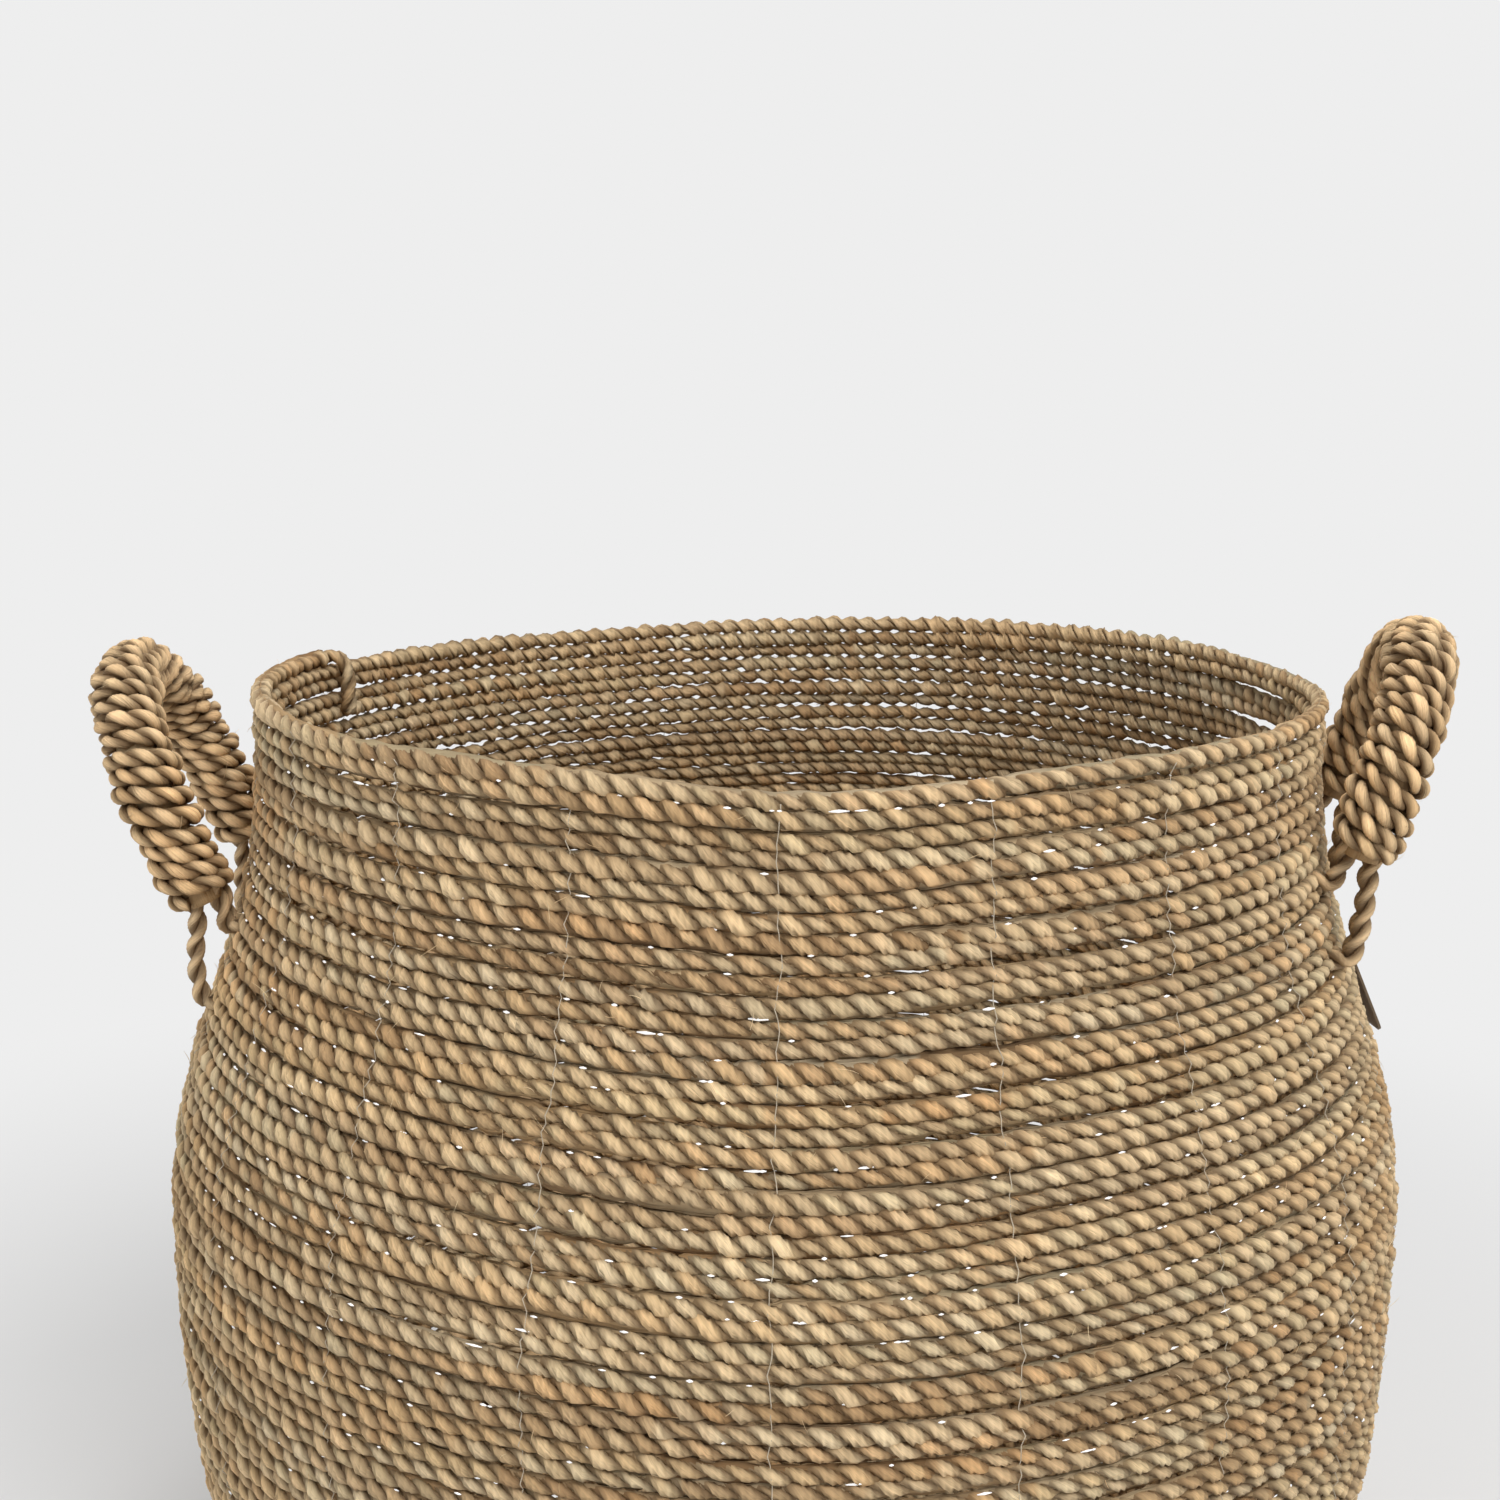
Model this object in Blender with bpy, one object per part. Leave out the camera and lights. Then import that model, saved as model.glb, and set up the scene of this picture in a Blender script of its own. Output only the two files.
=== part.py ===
"""Seagrass storage basket: a coiled rope bowl with a belly, two wound rope handles and a small blank tab.

Metres, +Z up. The origin is the middle of the base's underside, and -Y is the front.
Run with: blender --background --python part.py
"""
import math

import bmesh
import bpy
from mathutils import Matrix, Vector

# Driving dimensions
rim_height = 0.460
rim_radius = 0.220
belly_height = 0.232
belly_radius = 0.260
neck_start = 0.94  # share of the way from the belly to the rim where the neck becomes upright
base_radius = 0.185
rope_diameter = 0.0066
piece_gap = 0.0003  # between pieces that touch
ring_segments = 64

wall_bands = (
    # name, top of the band as a share of the wall's length along its outline, rows of faces
    ("wall_rope_base_edge", 0.07, 3),
    ("wall_rope_heel", 0.20, 3),
    ("wall_rope_lower_belly", 0.41, 3),
    ("wall_rope_upper_belly", 0.62, 3),
    ("wall_rope_shoulder", 0.84, 4),
    ("wall_rope_neck", 1.0, 2),
)

rope_end_angle = math.radians(165)  # where the last course ends, from +X towards +Y
rope_end_step = math.radians(0.8)  # how much of a turn the step down to the course below takes
tail_drop = 0.030  # how far the tail hangs below the rim, inside
rim_points = 60

stitch_count = 20
stitch_diameter = 0.0008
stitch_front_offset = math.radians(-2)  # of the front line, from -Y towards +X
handle_spacing = 0.106  # between the middles of the two legs
handle_core_diameter = 0.015
handle_wrap_thickness = 0.0062
handle_wall_clearance = 0.0020  # from the wall to the wound foot
hinge_wall_offset = 0.0040  # from the wall to the line that the handle tilts about
handles = (
    # name, side of the basket, turn about the basket from the X axis, drop of the feet below the rim,
    # rise of the grip's middle above the feet, lean out from upright
    ("left", -1, math.radians(5.5), 0.077, 0.090, math.radians(22)),
    ("right", 1, math.radians(-12.5), 0.052, 0.075, math.radians(17)),
)
leg_points = 4
bend_points = 13

lashing_diameter = 0.0080
lashing_hole_clearance = 0.0012
lashing_foot_spacing = 0.0105  # between the two ends of a lashing under the foot
lashing_inner_depth = 0.0068  # from the inside of the wall to the middle of the cord
upper_hole_drop = 0.0100  # below the foot
lower_hole_drop = 0.0410

tab_width = 0.036
tab_length = 0.055
tab_thickness = 0.0012
tab_angle = math.radians(6)  # from +X towards +Y
tab_top_drop = 0.114  # below the rim
tab_lift = math.radians(5)  # away from the slope of the wall
tab_wall_clearance = 0.0060
tab_eyelet_diameter = 0.0030
tab_eyelet_spacing = 0.020
tab_eyelet_drop = 0.0060  # below the tab's top edge
tab_thread_diameter = 0.0010

measuring_steps = 400


def clear_scene():
    for thing in list(bpy.data.objects):
        bpy.data.objects.remove(thing, do_unlink=True)


def make_material(name, colour, roughness):
    material = bpy.data.materials.new(name)
    material.use_nodes = True
    shader = material.node_tree.nodes["Principled BSDF"]
    shader.inputs["Base Color"].default_value = (*colour, 1.0)
    shader.inputs["Roughness"].default_value = roughness
    shader.inputs["Metallic"].default_value = 0.0
    return material


def link_object(name, data, material, parent=None):
    if material:
        data.materials.append(material)
    thing = bpy.data.objects.new(name, data)
    bpy.context.scene.collection.objects.link(thing)
    thing.parent = parent
    return thing


def add_mesh(name, shape, material, parent=None):
    """A mesh object from bmesh data, shaded smooth except at its sharp edges."""
    shape.normal_update()
    bmesh.ops.recalc_face_normals(shape, faces=shape.faces)
    mesh = bpy.data.meshes.new(name)
    shape.to_mesh(mesh)
    shape.free()
    mesh.shade_smooth()
    mesh.set_sharp_from_angle(angle=math.radians(40))
    return link_object(name, mesh, material, parent)


def add_tube(name, points, diameter, material, parent=None, resolution=2):
    """A round cord along points, with closed ends."""
    curve = bpy.data.curves.new(name, "CURVE")
    curve.dimensions = "3D"
    curve.bevel_depth = diameter / 2
    curve.bevel_resolution = resolution
    curve.use_fill_caps = True
    spline = curve.splines.new("POLY")
    spline.points.add(len(points) - 1)
    for spot, point in zip(spline.points, points):
        spot.co = (*point, 1.0)
    return link_object(name, curve, material, parent)


def smooth_route(stops, steps):
    """Points along a smooth curve through the stops, a number of steps between each two."""
    ends = [stops[0] * 2 - stops[1], *stops, stops[-1] * 2 - stops[-2]]
    route = []
    for before, start, end, after in zip(ends, ends[1:], ends[2:], ends[3:]):
        for step in range(steps):
            share = step / steps
            route.append(
                0.5
                * (
                    2 * start
                    + (end - before) * share
                    + (2 * before - 5 * start + 4 * end - after) * share**2
                    + (3 * start - before - 3 * end + after) * share**3
                )
            )
    route.append(stops[-1])
    return route


def wall_radius(height):
    """Outer radius of the basket at a height."""
    if height <= belly_height:
        below = 1 - max(height, 0.0) / belly_height
        return base_radius + (belly_radius - base_radius) * math.sqrt(1 - below**2)
    climb = min((height - belly_height) / (rim_height - belly_height) / neck_start, 1.0)
    narrowing = climb**3 * (6 * climb**2 - 15 * climb + 10)
    return belly_radius + (rim_radius - belly_radius) * narrowing


def measure_outline():
    """Points up the outer wall, closest together at the heel, and the length up to each."""
    heights = [rim_height * (step / measuring_steps) ** 2 for step in range(measuring_steps + 1)]
    points = [Vector((wall_radius(height), height)) for height in heights]
    lengths = [0.0]
    for before, after in zip(points, points[1:]):
        lengths.append(lengths[-1] + (after - before).length)
    return points, lengths


outline_points, outline_lengths = measure_outline()
wall_length = outline_lengths[-1]


def outline_at(length):
    """Radius and height on the outer wall, a length up from the base."""
    length = min(max(length, 0.0), wall_length)
    step = next(i for i, reached in enumerate(outline_lengths) if reached >= length)
    if step == 0:
        return outline_points[0].copy()
    before = outline_lengths[step - 1]
    share = (length - before) / (outline_lengths[step] - before)
    return outline_points[step - 1].lerp(outline_points[step], share)


def outward_at(length):
    """Outward normal of the wall, in radius and height. It points straight down where the wall leaves the base."""
    if length <= 0:
        return Vector((0.0, -1.0))
    reach = wall_length / measuring_steps
    along = (outline_at(length + reach) - outline_at(length - reach)).normalized()
    return Vector((along.y, -along.x))


def length_at_height(height):
    return next(
        length for point, length in zip(outline_points, outline_lengths) if point.y >= height
    )


def around(radius, height, angle):
    return Vector((radius * math.cos(angle), radius * math.sin(angle), height))


def climbed(angle):
    """Share of the last course's climb reached at an angle. It climbs as the angle falls."""
    turned = (rope_end_angle - angle) % (2 * math.pi)
    if turned < 1e-6:
        return 1.0
    return max(turned - rope_end_step, 0.0) / (2 * math.pi - rope_end_step)


def ring_angles():
    """Even steps round the basket, and one more just below the rope's end."""
    angles = [rope_end_angle + 2 * math.pi * step / ring_segments for step in range(ring_segments)]
    return angles + [rope_end_angle + 2 * math.pi - rope_end_step]


def add_base(material):
    """The flat spiral, as a disc one rope thick."""
    shape = bmesh.new()
    radius = base_radius - piece_gap
    levels = [
        [shape.verts.new(around(radius, height, angle)) for angle in ring_angles()]
        for height in (0.0, rope_diameter)
    ]
    for level in levels:
        shape.faces.new(level)
    lower, upper = levels
    for i in range(len(lower)):
        shape.faces.new((lower[i - 1], lower[i], upper[i], upper[i - 1]))
    return add_mesh("base_coil", shape, material)


def band_stations(start, end, rows):
    return [start + (end - start) * row / rows for row in range(rows + 1)]


def band_limits():
    """Name, first and last length up the outline, and rows of each band, up to the underside of the last course."""
    usable = wall_length - rope_diameter - piece_gap
    start = 0.0
    for name, share, rows in wall_bands:
        yield name, start, usable * share, rows
        start = usable * share + piece_gap


def band_top(name, end, angle):
    """Last length up the outline of a band at an angle. The top band climbs by one rope in a turn."""
    if name != wall_bands[-1][0]:
        return end
    return end - rope_diameter * (1 - climbed(angle))


def add_wall_band(name, start, end, rows, material):
    """A ring of wall between two lengths up the outline."""
    shape = bmesh.new()
    loops = []
    for angle in ring_angles():
        stations = band_stations(start, band_top(name, end, angle), rows)
        outer = [outline_at(station) for station in stations]
        inner = [outline_at(s) - outward_at(s) * rope_diameter for s in reversed(stations)]
        loops.append([shape.verts.new(around(spot.x, spot.y, angle)) for spot in outer + inner])
    for loop, following in zip(loops, loops[1:] + loops[:1]):
        for i in range(len(loop)):
            shape.faces.new((loop[i - 1], loop[i], following[i], following[i - 1]))
    return add_mesh(name, shape, material)


def add_walls(material):
    return [
        add_wall_band(name, start, end, rows, material)
        for name, start, end, rows in band_limits()
    ]


def add_rim(material):
    """The last course of rope. It climbs one rope in its turn, and its tail turns down inside."""
    radius = rope_diameter / 2
    middle = rim_radius - radius
    lowest = rim_height - 2 * rope_diameter + radius
    tail_angle = 0.10
    first = rope_end_angle - 2 * rope_end_step
    last = rope_end_angle - 2 * math.pi + tail_angle
    route = []
    for step in range(rim_points + 1):
        angle = first + (last - first) * step / rim_points
        route.append(around(middle, lowest + rope_diameter * climbed(angle), angle))
    inside = rim_radius - rope_diameter - radius
    tail = (
        # distance in from the middle of the wall, rise above the course, angle before the end
        (0.0, 0.0, tail_angle),
        (0.0012, 0.0004, 0.082),
        (0.0044, 0.0010, 0.062),
        (middle - inside + 0.0008, -0.0012, 0.045),
        (middle - inside + 0.0018, -tail_drop * 0.3, 0.036),
        (middle - inside + 0.0022, -tail_drop * 0.65, 0.032),
        (middle - inside + 0.0022, -tail_drop, 0.030),
    )
    stops = [
        around(middle - inward, lowest + rope_diameter + rise, rope_end_angle + before)
        for inward, rise, before in tail
    ]
    route = route[:-1] + smooth_route(stops, 3)
    return add_tube("rim_rope", route, rope_diameter, material)


def stitch_corners(angle):
    """Where a line of stitches crosses the edges of the wall's faces at an angle, and its top end."""
    stations = []
    for name, start, end, rows in band_limits():
        top = band_top(name, end, angle)
        stations += band_stations(start, top, rows)[:-1]
    stations.append(top)
    off_wall = piece_gap + stitch_diameter / 2
    corners = [outline_at(length) + outward_at(length) * off_wall for length in stations]
    thread_top = wall_length - 3 * rope_diameter
    share = (thread_top - stations[-2]) / (stations[-1] - stations[-2])
    corners[-1] = corners[-2].lerp(corners[-1], share)
    return corners[1:]


def add_stitches(material):
    """Upright lines of clear thread, just off the outside of the wall."""
    for number in range(stitch_count):
        even_angle = -math.pi / 2 + stitch_front_offset + 2 * math.pi * number / stitch_count
        angle = clear_of_lashings(even_angle)
        route = [around(corner.x, corner.y, angle) for corner in stitch_corners(angle)]
        add_tube(f"stitch_thread_{number + 1:02d}", route, stitch_diameter, material, resolution=0)


class Handle:
    """Where one handle stands: its feet, its lean and the line that it tilts about."""

    def __init__(self, name, side, place, foot_drop, rise, lean):
        self.name = name
        self.side = side
        self.place = Matrix.Rotation(place, 3, "Z")
        self.foot_height = rim_height - foot_drop
        self.rise = rise
        self.radius = handle_core_diameter / 2 + piece_gap + handle_wrap_thickness
        self.across = self.place @ Vector((0, 1, 0))
        self.along = self.place @ Vector((side * math.sin(lean), 0, math.cos(lean)))
        self.out = self.place @ Vector((side * math.cos(lean), 0, -math.sin(lean)))
        foot_x = wall_x(self.foot_height, handle_spacing / 2) + handle_wall_clearance + self.radius
        self.foot = self.beside(foot_x, 0, self.foot_height)
        hinge_x = wall_radius(self.foot_height) + hinge_wall_offset
        self.hinge = self.beside(hinge_x, 0, self.foot_height)
        self.empty = None

    def beside(self, distance, across, height):
        """A point on the handle's side, a distance from the plane of the axis and across the legs."""
        return self.place @ Vector((self.side * distance, across, height))

    def at(self, across, up, out=0.0):
        """A point from its place across the legs, up them and out from the basket."""
        return self.foot + self.across * across + self.along * up + self.out * out

    def route(self):
        """Middle of the grip, with its direction, up one leg, round the bend and down the other."""
        bend = handle_spacing / 2
        straight = self.rise - bend
        spots = []
        for step in range(leg_points):
            spots.append((-bend, straight * step / leg_points, 0.0))
        for step in range(bend_points + 1):
            turn = math.pi * step / bend_points
            spots.append((-bend * math.cos(turn), straight + bend * math.sin(turn), turn))
        for step in range(1, leg_points + 1):
            spots.append((bend, straight * (1 - step / leg_points), math.pi))
        return spots


def wall_x(height, across, depth=0.0):
    """Distance of the wall from the YZ plane at a height and a Y, a depth inside its outer face."""
    return math.sqrt((wall_radius(height) - depth) ** 2 - across**2)


def wall_level(height):
    """How level the wall's outward direction is at a height, 1 where the wall is upright."""
    return outward_at(length_at_height(height)).x


def sweep_grip(handle, radii, sides):
    """A bar or, with two radii, a sleeve along the handle, in coordinates from its hinge."""
    shape = bmesh.new()
    rings = []
    for across, up, turn in handle.route():
        sideways = handle.along * math.sin(turn) - handle.across * math.cos(turn)
        middle = handle.at(across, up) - handle.hinge
        ring = []
        for radius in radii:
            for side in range(sides):
                angle = 2 * math.pi * side / sides
                spoke = sideways * math.cos(angle) + handle.out * math.sin(angle)
                ring.append(shape.verts.new(middle + spoke * radius))
        rings.append(ring)
    for ring, following in zip(rings, rings[1:]):
        for first in range(0, len(ring), sides):
            for i in range(sides):
                j = (i + 1) % sides
                corners = (first + i, first + j)
                shape.faces.new([ring[c] for c in corners] + [following[c] for c in corners[::-1]])
    for ring in (rings[0], rings[-1]):
        if len(radii) == 1:
            shape.faces.new(ring)
            continue
        for i in range(sides):
            j = (i + 1) % sides
            shape.faces.new((ring[i], ring[j], ring[sides + j], ring[sides + i]))
    return shape


def add_handle(handle, core_material, wrap_material):
    handle.empty = bpy.data.objects.new(f"handle_{handle.name}_hinge", None)
    bpy.context.scene.collection.objects.link(handle.empty)
    handle.empty.location = handle.hinge
    core_radius = handle_core_diameter / 2
    core = sweep_grip(handle, (core_radius,), 10)
    add_mesh(f"handle_core_{handle.name}", core, core_material, handle.empty)
    sleeve = sweep_grip(handle, (handle.radius, core_radius + piece_gap), 14)
    add_mesh(f"handle_wrap_{handle.name}", sleeve, wrap_material, handle.empty)


def lashing_route(handle, across):
    """From under the foot through the upper hole, down inside, out of the lower hole and back to the foot."""
    upper = handle.foot_height - upper_hole_drop
    lower = handle.foot_height - lower_hole_drop
    end_out = lashing_foot_spacing / 2

    def outside(height, distance):
        return handle.beside(wall_x(height, across, -distance / wall_level(height)), across, height)

    def inside(height, distance):
        depth = (rope_diameter + distance) / wall_level(height)
        return handle.beside(wall_x(height, across, depth), across, height)

    first = handle.at(across, -piece_gap, -end_out)
    last = handle.at(across, -piece_gap, end_out)
    stops = [
        handle.at(across, -piece_gap - 0.003, -end_out),
        outside(upper, 0.0050),
        outside(upper, 0.0),
        inside(upper, 0.0),
        inside(upper - 0.0040, lashing_inner_depth),
        inside((upper + lower) / 2, lashing_inner_depth + 0.0010),
        inside(lower + 0.0040, lashing_inner_depth),
        inside(lower, 0.0),
        outside(lower, 0.0),
        outside(lower + 0.0015, 0.0060),
        (outside(lower + 0.0015, 0.0060) + last) / 2 + handle.out * 0.0010,
        handle.at(across, -piece_gap - 0.004, end_out),
    ]
    return [first, *smooth_route(stops, 2), last]


def clear_of_lashings(angle):
    """The angle of a line of stitches, turned just far enough to pass beside any lashing."""
    room = lashing_diameter / 2 + lashing_hole_clearance + stitch_diameter
    for facts in handles:
        handle = Handle(*facts)
        for across in (-handle_spacing / 2, handle_spacing / 2):
            for drop in (upper_hole_drop, lower_hole_drop):
                height = handle.foot_height - drop
                spot = handle.beside(wall_x(height, across), across, height)
                apart = math.remainder(angle - math.atan2(spot.y, spot.x), 2 * math.pi)
                short = room / wall_radius(height) - abs(apart)
                angle += math.copysign(max(short, 0.0), apart)
    return angle


def cut_lashing_hole(band, handle, across, height):
    """Cuts a level hole through one band of the wall for a lashing."""
    radius = lashing_diameter / 2 + lashing_hole_clearance
    shape = bmesh.new()
    middle = wall_x(height, across) - rope_diameter / 2
    bmesh.ops.create_cone(
        shape, cap_ends=True, segments=16, radius1=radius, radius2=radius, depth=rope_diameter * 4
    )
    for vert in shape.verts:
        vert.co = handle.beside(vert.co.z + middle, vert.co.x + across, vert.co.y + height)
    cutter = add_mesh(f"{band.name}_hole_cutter", shape, None)
    cutter.hide_render = True
    cutter.display_type = "WIRE"
    cut = band.modifiers.new("lashing_hole", "BOOLEAN")
    cut.operation = "DIFFERENCE"
    cut.solver = "EXACT"
    cut.object = cutter


def cut_lashing_holes(bands, handle):
    radius = lashing_diameter / 2 + lashing_hole_clearance + rope_diameter
    for band in bands:
        heights = [corner[2] for corner in band.bound_box]
        for across in (-handle_spacing / 2, handle_spacing / 2):
            for drop in (upper_hole_drop, lower_hole_drop):
                height = handle.foot_height - drop
                if min(heights) - radius < height < max(heights) + radius:
                    cut_lashing_hole(band, handle, across, height)


def tab_frame():
    """Where the tab hangs: the middle of its top edge, and its across, down and out directions."""
    length = length_at_height(rim_height - tab_top_drop)
    spot = outline_at(length) + outward_at(length) * (tab_wall_clearance + tab_thickness)
    up_wall = outline_at(length + rope_diameter) - outline_at(length - rope_diameter)
    slope = math.atan2(-up_wall.x, up_wall.y) + tab_lift
    across = Vector((-math.sin(tab_angle), math.cos(tab_angle), 0))
    away = Vector((math.cos(tab_angle), math.sin(tab_angle), 0))
    down = away * math.sin(slope) - Vector((0, 0, math.cos(slope)))
    out = away * math.cos(slope) + Vector((0, 0, math.sin(slope)))
    return around(spot.x, spot.y, tab_angle), across, down, out


def add_tab(material):
    """A thin plate with two eyelets, hung by its top edge."""
    top, across, down, out = tab_frame()
    empty = bpy.data.objects.new("tab_hinge", None)
    bpy.context.scene.collection.objects.link(empty)
    empty.location = top
    shape = bmesh.new()
    bmesh.ops.create_cube(shape, size=1.0)
    for vert in shape.verts:
        sideways, lengthways, through = vert.co
        vert.co = (
            across * sideways * tab_width
            + down * (lengthways + 0.5) * tab_length
            + out * through * tab_thickness
        )
    tab = add_mesh("blank_tab", shape, material, empty)
    for side in (-1, 1):
        hole = bmesh.new()
        radius = tab_eyelet_diameter / 2
        bmesh.ops.create_cone(
            hole, cap_ends=True, segments=12, radius1=radius, radius2=radius, depth=tab_thickness * 4
        )
        for vert in hole.verts:
            sideways, lengthways, through = vert.co
            vert.co = (
                across * (sideways + side * tab_eyelet_spacing / 2)
                + down * (lengthways + tab_eyelet_drop)
                + out * through
            )
        cutter = add_mesh("tab_eyelet_cutter", hole, None, empty)
        cutter.hide_render = True
        cutter.display_type = "WIRE"
        cut = tab.modifiers.new("eyelet", "BOOLEAN")
        cut.operation = "DIFFERENCE"
        cut.solver = "EXACT"
        cut.object = cutter


def add_tab_thread(material):
    """A thread from the wall out through one eyelet, across the tab and back through the other."""
    top, across, down, out = tab_frame()
    row = top + down * tab_eyelet_drop
    reach_in = tab_wall_clearance + tab_thickness / 2 - tab_thread_diameter / 2
    reach_out = tab_thickness / 2 + tab_thread_diameter
    stops = []
    for side in (-1, 1):
        eyelet = row + across * side * tab_eyelet_spacing / 2
        corner = eyelet + out * reach_out
        pair = [eyelet - out * reach_in, eyelet + out * tab_thickness / 2, corner]
        stops += pair if side < 0 else pair[::-1]
    return add_tube("tab_thread", stops, tab_thread_diameter, material, resolution=1)


def build():
    clear_scene()
    rope = make_material("seagrass_rope", (0.52, 0.40, 0.24), 0.85)
    grip = make_material("seagrass_cord", (0.56, 0.42, 0.25), 0.8)
    core = make_material("grip_core", (0.40, 0.30, 0.18), 0.9)
    nylon = make_material("clear_thread", (0.75, 0.74, 0.70), 0.35)
    tab = make_material("brown_tab", (0.20, 0.15, 0.10), 0.7)

    add_base(rope)
    bands = add_walls(rope)
    add_rim(rope)
    add_stitches(nylon)
    for facts in handles:
        handle = Handle(*facts)
        add_handle(handle, core, grip)
        cut_lashing_holes(bands, handle)
        for place, across in (("front", -handle_spacing / 2), ("back", handle_spacing / 2)):
            name = f"lashing_{handle.name}_{place}"
            add_tube(name, lashing_route(handle, across), lashing_diameter, grip)
    add_tab(tab)
    add_tab_thread(nylon)


build()
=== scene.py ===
import math
import bpy
import numpy as np
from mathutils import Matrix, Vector


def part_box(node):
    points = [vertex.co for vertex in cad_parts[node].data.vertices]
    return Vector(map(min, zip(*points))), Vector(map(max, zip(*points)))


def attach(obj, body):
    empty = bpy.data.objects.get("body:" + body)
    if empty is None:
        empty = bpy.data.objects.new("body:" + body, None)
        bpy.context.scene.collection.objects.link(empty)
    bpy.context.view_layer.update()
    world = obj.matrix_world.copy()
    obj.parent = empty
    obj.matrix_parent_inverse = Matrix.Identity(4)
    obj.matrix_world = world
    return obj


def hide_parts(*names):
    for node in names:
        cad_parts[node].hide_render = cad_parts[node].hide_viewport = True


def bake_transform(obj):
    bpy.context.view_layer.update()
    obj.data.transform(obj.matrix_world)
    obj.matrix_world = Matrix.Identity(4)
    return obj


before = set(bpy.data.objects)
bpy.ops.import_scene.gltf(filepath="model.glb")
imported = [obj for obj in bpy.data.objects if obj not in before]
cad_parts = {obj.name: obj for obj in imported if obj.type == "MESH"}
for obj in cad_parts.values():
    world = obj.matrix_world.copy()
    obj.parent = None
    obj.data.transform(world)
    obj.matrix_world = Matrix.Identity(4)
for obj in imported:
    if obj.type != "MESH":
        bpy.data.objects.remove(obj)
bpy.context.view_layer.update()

tau = 2 * math.pi

# the outline of the basket, in metres, as the solids have it
basket = {
    "rimHeight": 0.460,
    "rimRadius": 0.220,
    "bellyHeight": 0.232,
    "bellyRadius": 0.260,
    "neckStart": 0.94,
    "baseRadius": 0.185,
    "course": 0.0066,               # from one turn of rope to the next
    "ropeEnd": math.radians(165),   # where the last turn stops, from +X towards +Y
    "stitchLines": 20,
    "stitchStart": math.radians(-92),
    "bandTops": [0.07, 0.20, 0.41, 0.62, 0.84, 1.0],
}


def srgb(red, green, blue):
    # a screen colour from 0 to 255, as the linear values that shaders take
    parts = np.array([red, green, blue]) / 255
    linear = np.where(parts < 0.04045, parts / 12.92, ((parts + 0.055) / 1.055) ** 2.4)
    return tuple(float(part) for part in linear)


def unit(vectors):
    return vectors / np.maximum(np.linalg.norm(vectors, axis=-1, keepdims=True), 1e-12)


def wobble(places, wavelength, seed):
    # smooth random wandering between -1 and 1 along a length
    rng = np.random.default_rng(seed)
    spots = (places - places.min()) / wavelength
    knots = rng.uniform(-1, 1, int(spots.max()) + 3)
    low = np.floor(spots).astype(int)
    share = spots - low
    share = share * share * (3 - 2 * share)
    return knots[low] * (1 - share) + knots[low + 1] * share


def lengthsAlong(route):
    steps = np.linalg.norm(np.diff(route, axis=0), axis=1)
    return np.concatenate([[0.0], np.cumsum(steps)])


def evenly(route, spacing):
    # the same route with its points a set distance apart
    lengths = lengthsAlong(route)
    count = max(int(lengths[-1] / spacing), 4)
    wanted = np.linspace(0, lengths[-1], count + 1)
    return np.stack([np.interp(wanted, lengths, route[:, axis]) for axis in range(3)], axis=1)


def smoothRoute(stops, steps=12):
    # a smooth curve through the stops
    stops = np.array(stops, float)
    ends = np.vstack([2 * stops[0] - stops[1], stops, 2 * stops[-1] - stops[-2]])
    share = (np.arange(steps) / steps)[:, None]
    parts = []
    for before, start, end, after in zip(ends, ends[1:], ends[2:], ends[3:]):
        parts.append(0.5 * (2 * start + (end - before) * share
                            + (2 * before - 5 * start + 4 * end - after) * share ** 2
                            + (3 * start - before - 3 * end + after) * share ** 3))
    return np.vstack(parts + [stops[-1:]])


def carryAlong(route, firstSide):
    # a side direction carried along a route without turning about it
    tangents = unit(np.gradient(route, axis=0))
    side = np.array(firstSide, float)
    sides = []
    for tangent in tangents:
        side = side - tangent * np.dot(side, tangent)
        side = side / np.linalg.norm(side)
        sides.append(side)
    return np.array(sides)


# what the dried leaves look like: the screen colours of the strands and how often each turns up
leaves = {
    "colours": [(228, 203, 162), (214, 186, 144), (206, 175, 132), (212, 192, 152),
                (216, 176, 128), (190, 156, 114), (164, 130, 90)],
    "often": [0.22, 0.28, 0.22, 0.08, 0.07, 0.10, 0.03],
    "shortest": 0.02,
    "longest": 0.11,
    "calmColour": (212, 180, 138),
}


def leafColours(lengths, seed, calm=0.0):
    # one leaf after another along a strand, each with its own colour
    rng = np.random.default_rng(seed)
    palette = np.array([srgb(*colour) for colour in leaves["colours"]])
    count = int(lengths[-1] / leaves["shortest"]) + 4
    joins = np.cumsum(rng.uniform(leaves["shortest"], leaves["longest"], count))
    picks = palette[rng.choice(len(palette), count + 1, p=leaves["often"])]
    picks = picks * (1 - calm) + np.array(srgb(*leaves["calmColour"])) * calm
    picks = picks * rng.uniform(0.87, 1.07, (count + 1, 1))
    places = lengths + 0.004 * wobble(lengths, 0.01, seed + 5)
    which = np.searchsorted(joins, places)
    colours = picks[np.minimum(which, count)]
    colours = colours * (1 + 0.10 * wobble(lengths, 0.012, seed + 1))[:, None]
    warmth = 0.06 * wobble(lengths, 0.35, seed % 50)
    return colours * np.stack([1 + warmth, np.ones(len(lengths)), 1 - 1.6 * warmth], axis=1)


# how a strand takes its colours, and its painted shade and highlight: darker deep in the creases between the strands
# and at its sides, lighter where it stands proud and faces out; 0 is deep between the strands, 1 is proud
strandTone = {"ownLeaves": 0.6, "sharedLeaves": 0.4, "paintedCreaseShade": 0.28, "facing": 0.28, "proud": 0.44,
              "flatter": 1.4}


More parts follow.
